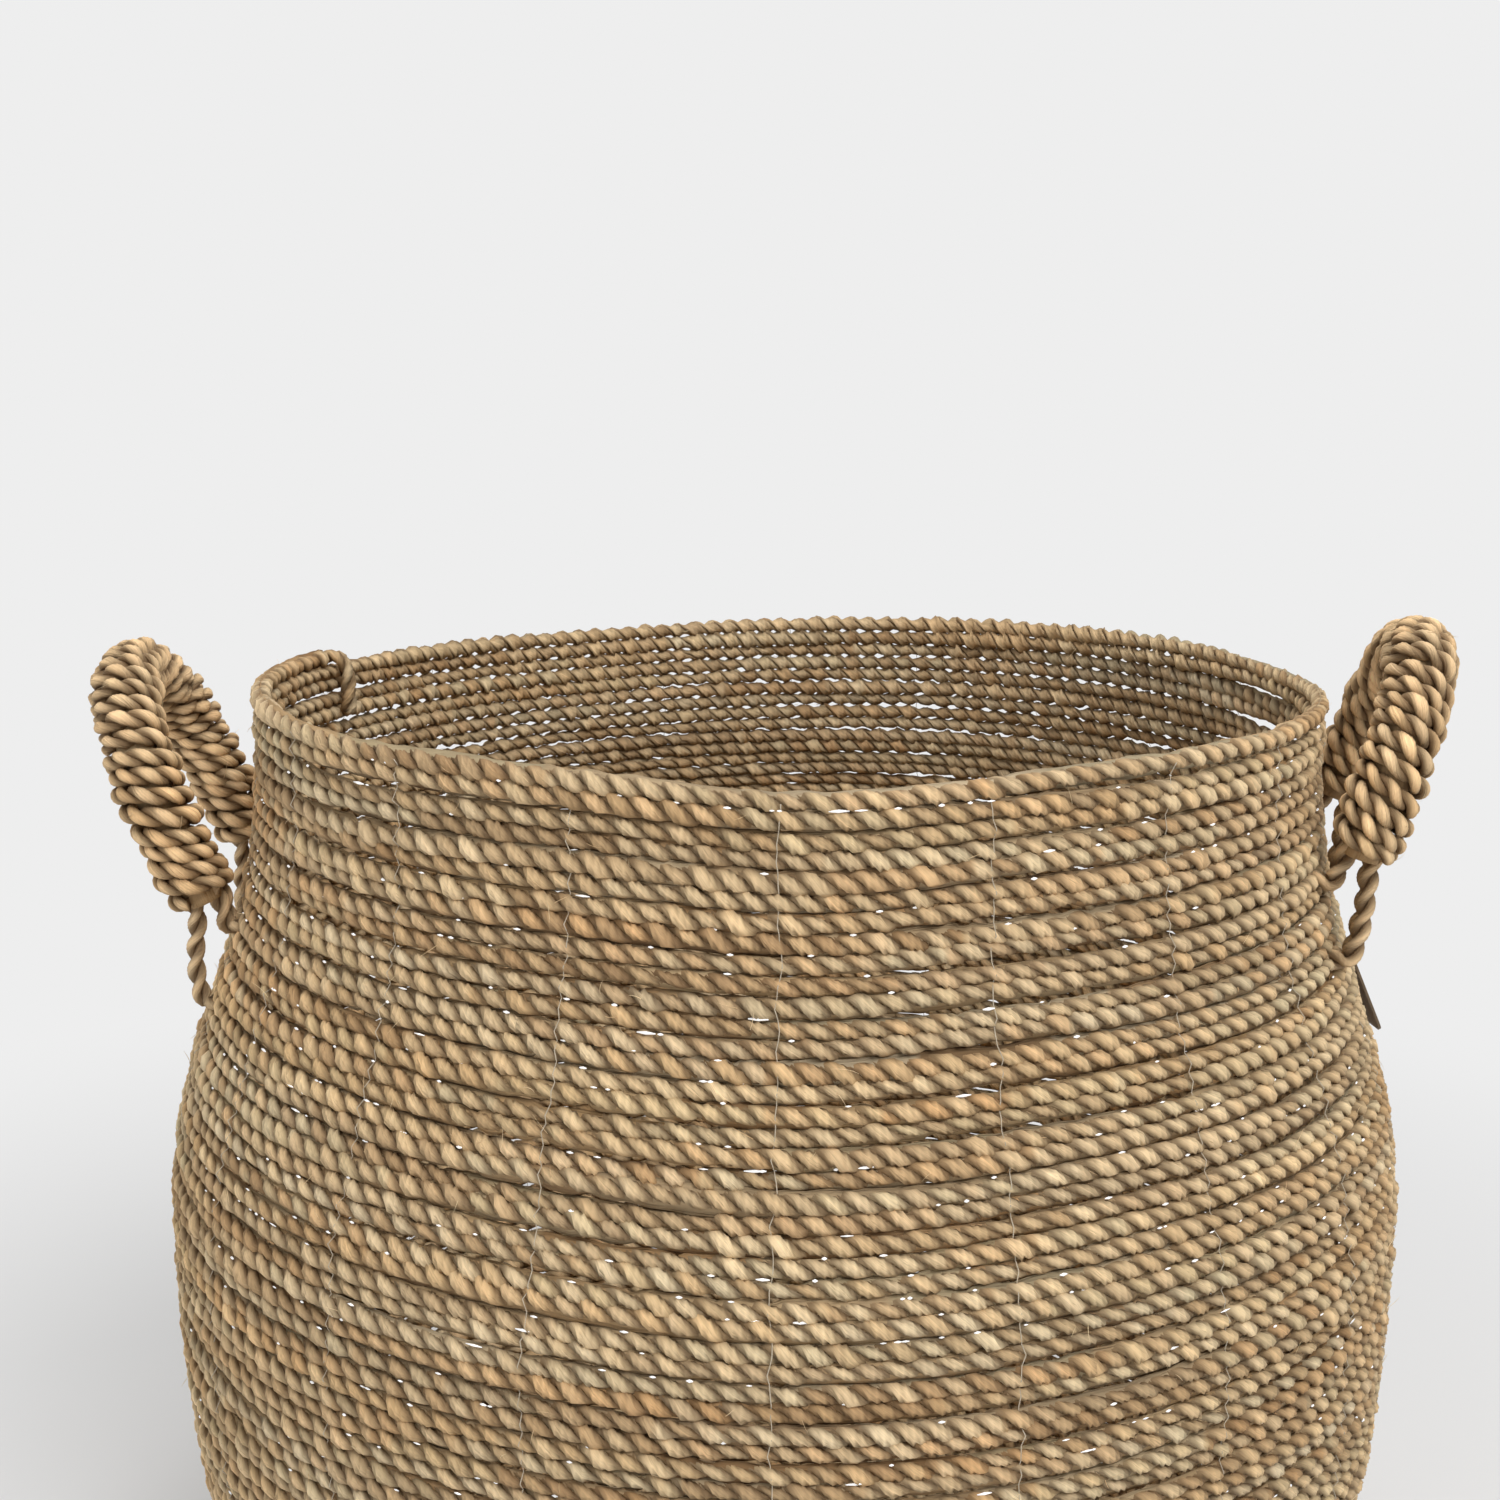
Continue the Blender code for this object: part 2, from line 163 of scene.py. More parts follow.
def twistCord(route, outward, look, seed, fatness=None, calm=0.0, phase=None, slim=0.0):
    # two strands laid round each other, as rings of points for each strand
    lengths = lengthsAlong(route)
    tangents = unit(np.gradient(route, axis=0))
    outward = unit(outward - tangents * np.sum(outward * tangents, axis=1, keepdims=True))
    upward = np.cross(tangents, outward)
    if fatness is None:
        fatness = np.ones(len(route))
    if phase is None:
        lay = look["lay"] * (1 + look["uneven"] * 0.9 * wobble(lengths, 0.06, seed + 11))
        phase = np.concatenate([[0.0], np.cumsum(tau * np.diff(lengths) / lay[1:])]) + seed % 7
    around = tau * np.arange(look["sides"]) / look["sides"]
    strands = []
    for number in range(2):
        turn = phase + number * math.pi
        turn = turn - look["dwell"] * np.sin(2 * turn)
        own = seed + 101 * (number + 1)
        thick = fatness * (1 + look["uneven"] * wobble(lengths, 0.045, own)
                           + look["uneven"] * wobble(lengths, look["lay"] * 0.6, own + 1))
        wide = thick * (1 + 0.8 * look["uneven"] * wobble(lengths, look["lay"] * 0.5, own + 2))
        wide = wide * (1 + look["plump"] * np.cos(2 * turn)) * (1 + strandTone["flatter"] * slim)
        thick = thick * (1 - slim)
        away = outward * np.cos(turn)[:, None] + upward * np.sin(turn)[:, None]
        across = upward * np.cos(turn)[:, None] - outward * np.sin(turn)[:, None]
        middle = route + away * (look["offset"] * thick)[:, None]
        roll = 0.35 * wobble(lengths, look["lay"] * 0.7, own + 3)
        angles = around[None, :] + roll[:, None]
        rings = (middle[:, None, :]
                 + away[:, None, :] * (np.cos(angles) * (look["deep"] * thick)[:, None])[:, :, None]
                 + across[:, None, :] * (np.sin(angles) * (look["wide"] * wide)[:, None])[:, :, None])
        proud = np.abs(np.sum((rings - route[:, None, :]) * outward[:, None, :], axis=2))
        proud = proud / (look["offset"] + look["deep"])
        strands.append({
            "rings": rings,
            "colour": (leafColours(lengths, own + 7, calm) * strandTone["ownLeaves"]
                       + leafColours(lengths, seed + 5, calm) * strandTone["sharedLeaves"]),
            "lengths": lengths + 3.7 * number + 0.61 * (seed % 13),
            "around": np.broadcast_to(around, angles.shape),
            # painted shading: low in the creases and at the strand's sides, high where it stands proud and faces out
            "open": np.clip(strandTone["paintedCreaseShade"] + strandTone["facing"] * np.cos(angles)
                            + strandTone["proud"] * proud, 0, 1),
        })
    return strands


def cutStrands(strands, first, last):
    return [{key: value[first:last + 1] for key, value in strand.items()} for strand in strands]


def strandMesh(name, strands, material):
    # one mesh of closed tubes, with each strand's colour, grain, painted shading and a bake map in long rows
    verts, colours, grains, paintedShadeParts, quads, rows = [], [], [], [], [], []
    base = 0
    total = sum(len(strand["rings"]) * len(strand["rings"][0]) for strand in strands)
    rowCount = max(int(math.sqrt(total / len(strands[0]["rings"][0]) / 5)), 1)
    perRow = math.ceil(sum(len(strand["rings"]) for strand in strands) / rowCount) + 1
    station = 0
    for strand in strands:
        count, sides = strand["rings"].shape[:2]
        verts.append(strand["rings"].reshape(-1, 3))
        colour = strand["colour"]
        if colour.ndim == 2:
            colour = np.repeat(colour[:, None, :], sides, axis=1)
        colours.append(colour.reshape(-1, 3))
        along = np.repeat(strand["lengths"][:, None], sides, axis=1)
        grain = np.stack([along, np.cos(strand["around"]), np.sin(strand["around"])], axis=2)
        grains.append(grain.reshape(-1, 3))
        paintedShadeParts.append(strand["open"].reshape(-1))
        step, side = np.meshgrid(np.arange(count - 1), np.arange(sides), indexing="ij")
        beyond = (side + 1) % sides
        corners = [step * sides + side, step * sides + beyond,
                   (step + 1) * sides + beyond, (step + 1) * sides + side]
        quads.append(base + np.stack(corners, axis=2).reshape(-1, 4))
        cell = station + step
        row, column = cell // perRow, cell % perRow
        left, right = (column + 0.02) / perRow, (column + 0.98) / perRow
        low = (row + 0.04 + 0.92 * side / sides) / (rowCount + 1)
        high = (row + 0.04 + 0.92 * (side + 1) / sides) / (rowCount + 1)
        rows.append(np.stack([left, low, left, high, right, high, right, low], axis=2).reshape(-1, 8))
        for end, turned in ((0, True), (count - 1, False)):
            for fan in range(1, sides - 2, 2):
                cap = [0, fan, fan + 1, fan + 2]
                if turned:
                    cap = cap[::-1]
                quads.append(np.array([[base + end * sides + corner for corner in cap]]))
                spot = ((station + end) % perRow) / perRow
                corner = ((station + end) // perRow) / (rowCount + 1)
                size = 0.02 / (rowCount + 1)
                rows.append(np.array([[spot, corner, spot, corner + size,
                                       spot + size, corner + size, spot + size, corner]]))
        station += count
        base += count * sides
    verts, quads = np.vstack(verts), np.vstack(quads)
    mesh = bpy.data.meshes.new(name)
    mesh.vertices.add(len(verts))
    mesh.vertices.foreach_set("co", verts.astype(np.float32).ravel())
    mesh.loops.add(quads.size)
    mesh.loops.foreach_set("vertex_index", quads.astype(np.int32).ravel())
    mesh.polygons.add(len(quads))
    mesh.polygons.foreach_set("loop_start", np.arange(0, quads.size, 4, dtype=np.int32))
    mesh.update(calc_edges=True)
    mesh.shade_smooth()
    bake = mesh.uv_layers.new(name="OFBake")
    bake.uv.foreach_set("vector", np.vstack(rows).astype(np.float32).ravel())
    tints = mesh.attributes.new("leafColour", "FLOAT_COLOR", "POINT")
    full = np.concatenate([np.vstack(colours), np.ones((len(verts), 1))], axis=1)
    tints.data.foreach_set("color", full.astype(np.float32).ravel())
    fibres = mesh.attributes.new("grain", "FLOAT_VECTOR", "POINT")
    fibres.data.foreach_set("vector", np.vstack(grains).astype(np.float32).ravel())
    # the painted shading, which the grass finish turns into darker creases and lighter proud tops
    paintedShadeLayer = mesh.attributes.new("open", "FLOAT", "POINT")
    paintedShadeLayer.data.foreach_set("value", np.concatenate(paintedShadeParts).astype(np.float32))
    mesh.materials.append(material)
    piece = bpy.data.objects.new(name, mesh)
    bpy.context.scene.collection.objects.link(piece)
    return piece


def place(piece, body, slot, *nodes):
    if body:
        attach(piece, body)
    if nodes:
        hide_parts(*nodes)
    return piece


# shader sums as plain Python: a Wire is one value or colour on its way to a socket
class Wire:
    def __init__(self, build, socket):
        self.build = build
        self.socket = socket

    def join(self, operation, first, second):
        return self.build.add("ShaderNodeMath", {"operation": operation}, {0: first, 1: second})

    def __add__(self, other):
        return self.join("ADD", self, other)

    def __radd__(self, other):
        return self.join("ADD", other, self)

    def __rsub__(self, other):
        return self.join("SUBTRACT", other, self)

    def __mul__(self, other):
        return self.join("MULTIPLY", self, other)

    def __rmul__(self, other):
        return self.join("MULTIPLY", other, self)


class Finish:
    # one material, with its Principled shader and a method that adds any other node
    def __init__(self, name, **fixed):
        self.material = bpy.data.materials.new(name)
        self.material.use_nodes = True
        self.tree = self.material.node_tree
        self.shader = self.tree.nodes["Principled BSDF"]
        for socket, value in fixed.items():
            self.shader.inputs[socket.replace("_", " ")].default_value = value

    def put(self, socket, value):
        if isinstance(value, Wire):
            self.tree.links.new(value.socket, socket)
        else:
            socket.default_value = value

    def add(self, kind, settings, values, output=0):
        node = self.tree.nodes.new(kind)
        for key, value in settings.items():
            if key == "stops":
                ramp = node.color_ramp
                while len(ramp.elements) < len(value):
                    ramp.elements.new(0.5)
                for element, (spot, colour) in zip(ramp.elements, value):
                    element.position = spot
                    element.color = (*colour, 1)
            else:
                setattr(node, key, value)
        for key, value in values.items():
            self.put(node.inputs[key], value)
        return Wire(self, node.outputs[output])

    def mix(self, share, first, second, blend="MIX"):
        settings = {"data_type": "RGBA", "blend_type": blend}
        return self.add("ShaderNodeMix", settings, {0: share, 6: first, 7: second}, 2)

    def set(self, socket, value):
        self.put(self.shader.inputs[socket], value)


def attribute(finish, name, output):
    return finish.add("ShaderNodeAttribute", {"attribute_name": name}, {}, output)


def grassFinish(name, look):
    # dried leaf: lengthwise fibres, dark flecks, and painted shade and highlight: darker and browner where the
    # strands meet, lighter where they stand proud
    finish = Finish(name, Roughness=look["rough"], Specular_IOR_Level=0.3)
    leaf = attribute(finish, "leafColour", 0)
    grain = attribute(finish, "grain", 1)
    # this attribute carries the painted shading: 0 deep in the creases, 1 proud and facing out
    opened = attribute(finish, "open", 2)

    def streaks(along, acrossScale, detail):
        stretched = finish.add("ShaderNodeVectorMath", {"operation": "MULTIPLY"},
                               {0: grain, 1: (along, acrossScale, acrossScale)})
        return finish.add("ShaderNodeTexNoise", {},
                          {"Vector": stretched, "Scale": 1.0, "Detail": detail, "Roughness": 0.6})

    folds = streaks(32, 2.3, 2)
    fibres = streaks(80, 7.0, 3)
    fineFibres = streaks(150, 16.0, 2)
    blotches = streaks(45, 0.9, 2)
    flecks = finish.add("ShaderNodeValToRGB", {"stops": [(0.60, (0, 0, 0)), (0.72, (1, 1, 1))]},
                        {0: streaks(260, 5.0, 2)})
    light = (0.74 + 0.52 * folds) * (0.84 + 0.32 * fibres) * (0.9 + 0.2 * fineFibres) * (0.74 + 0.52 * blotches)
    # painted shade and highlight: creases darkened down to look's dark value, proud tops lightened up to 1.10
    paintedCreaseShade = finish.add("ShaderNodeMapRange", {"clamp": True},
                        {0: opened, 1: 0.42, 2: 0.97, 3: look["dark"], 4: 1.10})
    lit = light * paintedCreaseShade * look["shade"]
    grey = finish.add("ShaderNodeCombineColor", {}, {0: lit, 1: lit, 2: lit})
    colour = finish.mix(1.0, leaf, grey, "MULTIPLY")
    brown = (*srgb(116, 84, 50), 1)
    dotted = finish.mix(0.35 * flecks, colour, brown)
    # painted shade: brown mixed into the creases, at the strength of look's brown value
    deep = finish.mix((1 - opened) * look["brown"], dotted, (*srgb(112, 80, 47), 1))
    finish.set("Base Color", deep)
    height = folds + 0.45 * fibres + 0.15 * fineFibres
    bump = finish.add("ShaderNodeBump", {}, {"Strength": look["bump"], "Distance": 0.0011, "Height": height})
    finish.set("Normal", bump)
    finish.set("Roughness", 0.58 + 0.3 * fibres)
    return finish.material


# dark and brown set how deep the painted crease shade goes
wallGrass = grassFinish("seagrassRope", {"rough": 0.8, "shade": 1.17, "dark": 0.46, "brown": 0.6, "bump": 0.5})
gripGrass = grassFinish("seagrassCord", {"rough": 0.75, "shade": 1.42, "dark": 0.48, "brown": 0.75, "bump": 1.0})


def wallRadius(heights):
    low = 1 - np.clip(heights, 0, None) / basket["bellyHeight"]
    belly = basket["bellyRadius"]
    lower = basket["baseRadius"] + (belly - basket["baseRadius"]) * np.sqrt(np.clip(1 - low ** 2, 0, 1))
    climb = (heights - basket["bellyHeight"]) / (basket["rimHeight"] - basket["bellyHeight"]) / basket["neckStart"]
    climb = np.clip(climb, 0, 1)
    upper = belly + (basket["rimRadius"] - belly) * climb ** 3 * (6 * climb ** 2 - 15 * climb + 10)
    return np.where(heights <= basket["bellyHeight"], lower, upper)


# the rope of the base and the wall, in one long spiral
rope = {
    "lay": 0.0188,        # length of one full twist
    "offset": 0.00132,    # from the rope's middle to a strand's middle
    "deep": 0.00212,      # half the strand, towards and away from the rope's middle
    "wide": 0.00250,      # half the strand the other way
    "plump": 0.22,        # how much a strand swells where it faces out or in
    "dwell": 0.14,        # how much slower it turns there
    "sides": 6,
    "steps": 8,           # rings in each twist
    "uneven": 0.16,
    "nest": 0.5,          # how firmly a course's bulges settle between those of the course below
    "drift": 0.7,
    "middle": 0.0036,     # half the height of the pressed leaves between the strands
    "openMiddle": 0.0020,  # the same near the rim at the back, where gaps show
    "slim": 0.25,         # how much flatter the strands lie there
    "openReach": 0.085,
    "rowWander": 0.00032,
    "sideWander": 0.0006,
    "pinch": 0.10,        # how much the stitches squeeze the rope
    "pinchWidth": 0.004,
    "baseLift": 0.0006,
    "frontSag": 0.0045,   # dip of the rim at the front
    "rimLift": 0.0055,
    "sagReach": 0.30,     # how far down the wall the rim's waves reach
    "lopsided": -0.0016,  # how far the belly stands off centre
    "slits": 60,          # thin lengths that leave a gap to look through
    "specks": 900,        # short ones
    "fatSpots": 70,       # spliced lengths that are thicker
    "backSag": 0.0055,    # dip of the rim at the back left
    "backSagAngle": math.radians(120),
    "endDip": 0.0013,     # how far the last course sinks before its end
    "endDipLength": 0.09,
    "ripple": 0.0011,     # slow rise and fall of the courses
    "pieceRings": 5500,   # most rings of a strand in one piece
}


def outlineTable():
    # lengths, radii, heights and outward directions up the base and the wall
    heights = basket["rimHeight"] * (np.arange(1601) / 1600) ** 2
    wall = np.stack([wallRadius(heights), heights], axis=1)
    flat = np.stack([np.linspace(0, basket["baseRadius"], 200)[:-1], np.zeros(199)], axis=1)
    points = np.vstack([flat, wall])
    lengths = lengthsAlong(np.column_stack([points, np.zeros(len(points))]))
    along = unit(np.gradient(points, axis=0))
    outward = np.stack([along[:, 1], -along[:, 0]], axis=1)
    return lengths, points, outward


outlineLengths, outlinePoints, outlineOutward = outlineTable()
wallLength = outlineLengths[-1] - basket["baseRadius"]


def rimWave(angles, heights):
    # the rim isn't level: it sags at the front and a little at the back left
    front = (angles + tau / 4 + math.pi) % tau - math.pi
    back = (angles - rope["backSagAngle"] + math.pi) % tau - math.pi
    wave = (rope["rimLift"] - rope["frontSag"] * np.exp(-(front / 0.26) ** 2)
            - rope["backSag"] * np.exp(-(back / 0.75) ** 2))
    return wave * np.exp(-(basket["rimHeight"] - heights) / rope["sagReach"])


def ropeRoute():
    # the spiral's middle line, its outward directions and the angle and outline length at each point
    lastLength = outlineLengths[-1] - basket["course"] / 2
    turns = lastLength / basket["course"]
    fine = np.linspace(0.25, turns, int(turns * 360))
    up = fine * basket["course"]
    radius = np.interp(up, outlineLengths, outlinePoints[:, 0])
    run = np.sqrt((tau * radius) ** 2 + basket["course"] ** 2)
    lengths = np.concatenate([[0], np.cumsum((run[1:] + run[:-1]) / 2 * np.diff(fine))])
    count = int(lengths[-1] / rope["lay"] * rope["steps"])
    turn = np.interp(np.linspace(0, lengths[-1], count), lengths, fine)
    up = turn * basket["course"]
    angle = basket["ropeEnd"] - tau * (turn - turns)
    radius = np.interp(up, outlineLengths, outlinePoints[:, 0])
    height = np.interp(up, outlineLengths, outlinePoints[:, 1])
    sideways = np.interp(up, outlineLengths, outlineOutward[:, 0])
    upright = np.interp(up, outlineLengths, outlineOutward[:, 1])
    size = np.hypot(sideways, upright)
    sideways, upright = sideways / size, upright / size
    half = basket["course"] / 2
    along = np.linspace(0, lengths[-1], count)
    wander = rope["sideWander"] * wobble(along, 0.07, 3) + 0.0004 * wobble(along, 0.4, 4)
    radius = radius - sideways * (half - wander)
    height = height - upright * (half - wander * np.clip(sideways, 0, 1))
    calm = 1 - 0.7 * openness(angle, up)
    height = height + rope["rowWander"] * wobble(along, 0.05, 5) * np.clip(sideways, 0, 1) * calm
    height = height + rope["baseLift"] * (1 - np.clip(sideways, 0, 1))
    sink = rope["endDip"] * np.exp(-((lengths[-1] - along) / rope["endDipLength"]) ** 2)
    height = height + rimWave(angle, height) - sink
    height = height + rope["ripple"] * ripple(angle * 2.5, height / 0.05) * np.clip(height / 0.1, 0, 1) * calm
    bulge = np.clip(1 - ((height - basket["bellyHeight"]) / 0.17) ** 2, 0, 1)
    route = np.stack([radius * np.cos(angle) + rope["lopsided"] * bulge, radius * np.sin(angle), height], axis=1)
    outward = np.stack([sideways * np.cos(angle), sideways * np.sin(angle), upright], axis=1)
    return route, outward, angle, up, along, settledPhase(turn, along, calm)


def ripple(first, second):
    # a slow, smooth wandering over the whole wall
    return (np.sin(first + 1.3 * np.sin(second)) + 0.7 * np.sin(2 * first + 1.7 * second + 2)
            + 0.5 * np.sin(3 * first - 1.1 * second + 4)) / 1.5


def settledPhase(turn, along, calm):
    # the twist's turn along the rope: most bulges lie between two bulges of the course below
    free = tau * along / rope["lay"]
    phase = free.copy()
    for lap in range(1, int(turn[-1]) + 1):
        here = (turn >= lap) & (turn < lap + 1)
        below = np.clip(turn[here] - 1, turn[0], None)
        halves = (free[here] - np.interp(below, turn, free)) / math.pi
        share = halves - np.floor(halves)
        loose = turn[here] * basket["course"] > outlineLengths[-1] - rope["openReach"]
        firmness = rope["nest"] * np.where(loose, -1, 1)
        settled = halves + firmness / tau * np.sin(tau * share)
        phase[here] = np.interp(below, turn, phase) + math.pi * settled
    return phase + rope["drift"] * wobble(along, 0.22, 8) * calm


def ropeFatness(angle, along, radius):
    # thicker and thinner lengths, spliced fat stretches, and a squeeze at every stitch
    rng = np.random.default_rng(21)
    fat = 1 + 0.05 * wobble(along, 0.30, 6)
    for spot in rng.uniform(0, along[-1], rope["fatSpots"]):
        fat = fat + 0.13 * np.exp(-((along - spot) / rng.uniform(0.05, 0.16)) ** 4)
    spread = tau / basket["stitchLines"]
    off = (angle - basket["stitchStart"] + spread / 2) % spread - spread / 2
    fat = fat * (1 - rope["pinch"] * np.exp(-(off * radius / rope["pinchWidth"]) ** 2))
    for spot in along[-1] * (0.985 - 0.98 * rng.random(rope["slits"]) ** 2):
        fat = fat - rng.uniform(0.04, 0.14) * np.exp(-((along - spot) / rng.uniform(0.006, 0.03)) ** 4)
    for spot in along[-1] * rng.uniform(0.13, 0.985, rope["specks"]):
        near = slice(*np.searchsorted(along, (spot - 0.01, spot + 0.01)))
        fat[near] -= rng.uniform(0.15, 0.30) * np.exp(-((along[near] - spot) / rng.uniform(0.0014, 0.0030)) ** 2)
    fat = fat + 0.10 * np.exp(-((along[-1] - along) / 0.35) ** 4)
    return np.clip(fat, 0.62, 1.25)


def openness(angle, up):
    # how loosely the courses lie: tight below, and open near the rim at the back
    top = outlineLengths[-1] - up
    high = 1 / (1 + np.exp((top - rope["openReach"]) / 0.012))
    behind = np.clip((np.sin(angle) - 0.15) / 0.4, 0, 1)
    return high * behind


def ropeMiddle(route, outward, opened, along, fat, phase):
    # the pressed leaves between the strands, which close most of the gaps between the courses
    tangents = unit(np.gradient(route, axis=0))
    upward = np.cross(tangents, outward)
    dips = opened * np.sin(phase) ** 4
    tall = rope["middle"] + (rope["openMiddle"] - rope["middle"]) * dips + 0.0003 * opened * (1 - dips)
    tall = tall * (1 + 0.13 * wobble(along, 0.007, 91) + 0.08 * wobble(along, 0.05, 92)) * fat ** 2
    rings = np.stack([route + upward * tall[:, None], route + outward * 0.0009, route - upward * tall[:, None],
                      route - outward * 0.0009], axis=1)
    # the pressed leaves are real, but carry a fixed painted shade of 0.6, so they read darker, like the shade between
    # the strands
    return {"rings": rings, "colour": leafColours(along, 93), "lengths": along,
            "around": np.broadcast_to(tau * np.arange(4) / 4, (len(route), 4)),
            "open": np.full((len(route), 4), 0.6)}


def makeWallRope():
    route, outward, angle, up, along, phase = ropeRoute()
    radius = np.hypot(route[:, 0], route[:, 1])
    fat = ropeFatness(angle, along, radius)
    tail = tailRoute(route)
    tailSides = carryAlong(np.vstack([route[-2:], tail]), outward[-1])[2:]
    fullRoute = np.vstack([route, tail])
    fullOutward = np.vstack([outward, tailSides])
    fullFat = np.concatenate([fat, np.linspace(fat[-1], 1.3, len(tail))])
    fullPhase = np.concatenate([phase, phase[-1] + tau / rope["steps"] * np.arange(1, len(tail) + 1)])
    opened = openness(angle, up)
    slim = rope["slim"] * np.concatenate([opened, np.zeros(len(tail))])
    strands = twistCord(fullRoute, fullOutward, rope, 40, fullFat, 0.0, fullPhase, slim)
    middles = ropeMiddle(route, outward, opened, along, fat, phase)
    usable = wallLength - basket["course"]
    limits = [basket["baseRadius"]] + [basket["baseRadius"] + usable * top for top in basket["bandTops"]]
    cuts = [0] + [int(np.searchsorted(up, limit)) for limit in limits] + [len(fullRoute) - 1]
    names = ["base_coil", "wall_rope_base_edge", "wall_rope_heel", "wall_rope_lower_belly",
             "wall_rope_upper_belly", "wall_rope_shoulder", "wall_rope_neck", "rim_rope"]
    for name, first, last in zip(names, cuts, cuts[1:]):
        parts = math.ceil((last - first) / rope["pieceRings"])
        edges = np.linspace(first, last, parts + 1).astype(int)
        for part, (start, end) in enumerate(zip(edges, edges[1:])):
            label = name if parts == 1 else f"{name}_{part + 1}"
            label = label.replace("_rope", "_courses")
            pressed = cutStrands([middles], start, min(end, len(route) - 1))
            piece = strandMesh("visual_" + label, cutStrands(strands, start, end) + pressed, wallGrass)
            place(piece, "root", "seagrass_rope", name)
    print("rope:", round(along[-1], 1), "m")
    return route, outward, angle, up, fat


def tailRoute(route):
    # the rope's end turns in over the rim and down the inside
    end = route[-1]
    angle = math.atan2(end[1], end[0])
    radius = math.hypot(end[0], end[1])
    stops = [end]
    for inward, rise, turned in ((0.0010, 0.0004, 0.014), (0.0048, 0.0004, 0.026), (0.0078, -0.0036, 0.032),
                                 (0.0082, -0.0105, 0.036), (0.0080, -0.0180, 0.037), (0.0078, -0.0255, 0.036)):
        spot, reach = angle - turned, radius - inward
        stops.append((reach * math.cos(spot), reach * math.sin(spot), end[2] + rise))
    return evenly(smoothRoute(stops), rope["lay"] / rope["steps"])[1:]


ropeLine, ropeOutward, ropeAngle, ropeUp, ropeFat = makeWallRope()


# the two grips, as the solids have them
grip = {
    "legSpacing": 0.106,
    "coreRadius": 0.0074,
    "windRadius": 0.0103,     # from the middle of the grip to the middle of the cord
    "turnSpacing": 0.0072,
    "tilt": 0.0030,
    # name, side, turn about the basket, drop of the feet below the rim, rise and lean
    "sides": [("left", -1, math.radians(5.5), 0.077, 0.090, math.radians(22)),
              ("right", 1, math.radians(-12.5), 0.052, 0.075, math.radians(17))],
    "footRadius": 0.014,
    "wallGap": 0.002,
}
gripCord = {"lay": 0.0175, "offset": 0.00178, "deep": 0.00200, "wide": 0.0025, "plump": 0.14, "dwell": 0.05,
            "sides": 10, "steps": 14, "uneven": 0.10}
lashCord = {"lay": 0.0190, "offset": 0.0019, "deep": 0.0020, "wide": 0.0024, "plump": 0.0, "dwell": 0.0,
            "sides": 10, "steps": 14, "uneven": 0.06}


def wallAt(height, across, depth=0.0):
    # distance of the wall from the middle plane, a depth inside its face
    rise = float(wallRadius(np.array(height + 0.002)) - wallRadius(np.array(height - 0.002)))
    level = 0.004 / math.hypot(0.004, rise)
    return math.sqrt((float(wallRadius(np.array(height))) - depth / level) ** 2 - across ** 2)


class GripPlace:
    # where one grip's feet stand, and its directions up the legs and out from the basket
    def __init__(self, name, side, place, footDrop, rise, lean):
        self.name, self.side, self.rise = name, side, rise
        self.turn = np.array([[math.cos(place), -math.sin(place), 0],
                              [math.sin(place), math.cos(place), 0], [0, 0, 1]])
        self.footHeight = basket["rimHeight"] - footDrop
        footX = wallAt(self.footHeight, grip["legSpacing"] / 2) + grip["wallGap"] + grip["footRadius"]
        self.foot = self.beside(footX, 0, self.footHeight)
        self.across = self.turn @ np.array([0, 1.0, 0])
        self.up = self.turn @ np.array([side * math.sin(lean), 0, math.cos(lean)])
        self.out = self.turn @ np.array([side * math.cos(lean), 0, -math.sin(lean)])

    def beside(self, distance, across, height):
        return self.turn @ np.array([self.side * distance, across, height])

    def at(self, across, up, out=0.0):
        return self.foot + self.across * across + self.up * up + self.out * out

    def line(self, spacing):
        # the middle of the grip from the front foot round to the back foot
        bend = grip["legSpacing"] / 2
        straight = self.rise - bend
        turns = np.linspace(0, math.pi, 60)
        arch = [(-bend * math.cos(turn), straight + bend * math.sin(turn)) for turn in turns]
        spots = [(-bend, 0.0)] + arch + [(bend, 0.0)]
        return evenly(np.array([self.at(across, up) for across, up in spots]), spacing)


def windCord(where, seed):
    # the cord's middle line, wound round the grip, a little uneven from turn to turn
    line = where.line(0.0005)
    lengths = lengthsAlong(line)
    tangents = unit(np.gradient(line, axis=0))
    turns = (lengths[-1] - 0.006) / grip["turnSpacing"]
    fine = np.linspace(0, turns, int(turns * 90))
    spot = 0.003 + fine * grip["turnSpacing"]
    spot = spot + 0.0018 * wobble(fine, 1.3, seed) * np.clip(np.minimum(fine, turns - fine) / 2, 0, 1)
    angle = tau * fine + 0.5
    leg = np.cos(math.pi * np.clip(fine / turns, 0, 1))
    tilt = (-where.side * grip["tilt"] * leg * np.sin(angle)
            + 0.0011 * np.cos(angle + 2.0) * wobble(fine, 3.0, seed + 1))
    tilt = tilt * np.clip(np.minimum(fine, turns - fine) / 1.5, 0, 1)
    spot = np.clip(spot + tilt, 0, lengths[-1])
    middle = np.stack([np.interp(spot, lengths, line[:, axis]) for axis in range(3)], axis=1)
    along = unit(np.stack([np.interp(spot, lengths, tangents[:, axis]) for axis in range(3)], axis=1))
    sideways = np.cross(along, where.out)
    spokes = sideways * np.cos(angle)[:, None] + where.out * np.sin(angle)[:, None]
    tuck = 1 - 0.28 * np.exp(-np.minimum(fine, turns - fine) / 0.12)
    reach = (grip["windRadius"] + 0.0009 * wobble(fine, 0.7, seed + 2)) * tuck
    return evenly(middle + spokes * reach[:, None], gripCord["lay"] / gripCord["steps"]), line


def spokesFrom(route, line):
    # the direction from the grip's middle out to each point of the cord round it
    nearest = [line[np.argmin(np.sum((line - point) ** 2, axis=1))] for point in route]
    return unit(route - np.array(nearest))


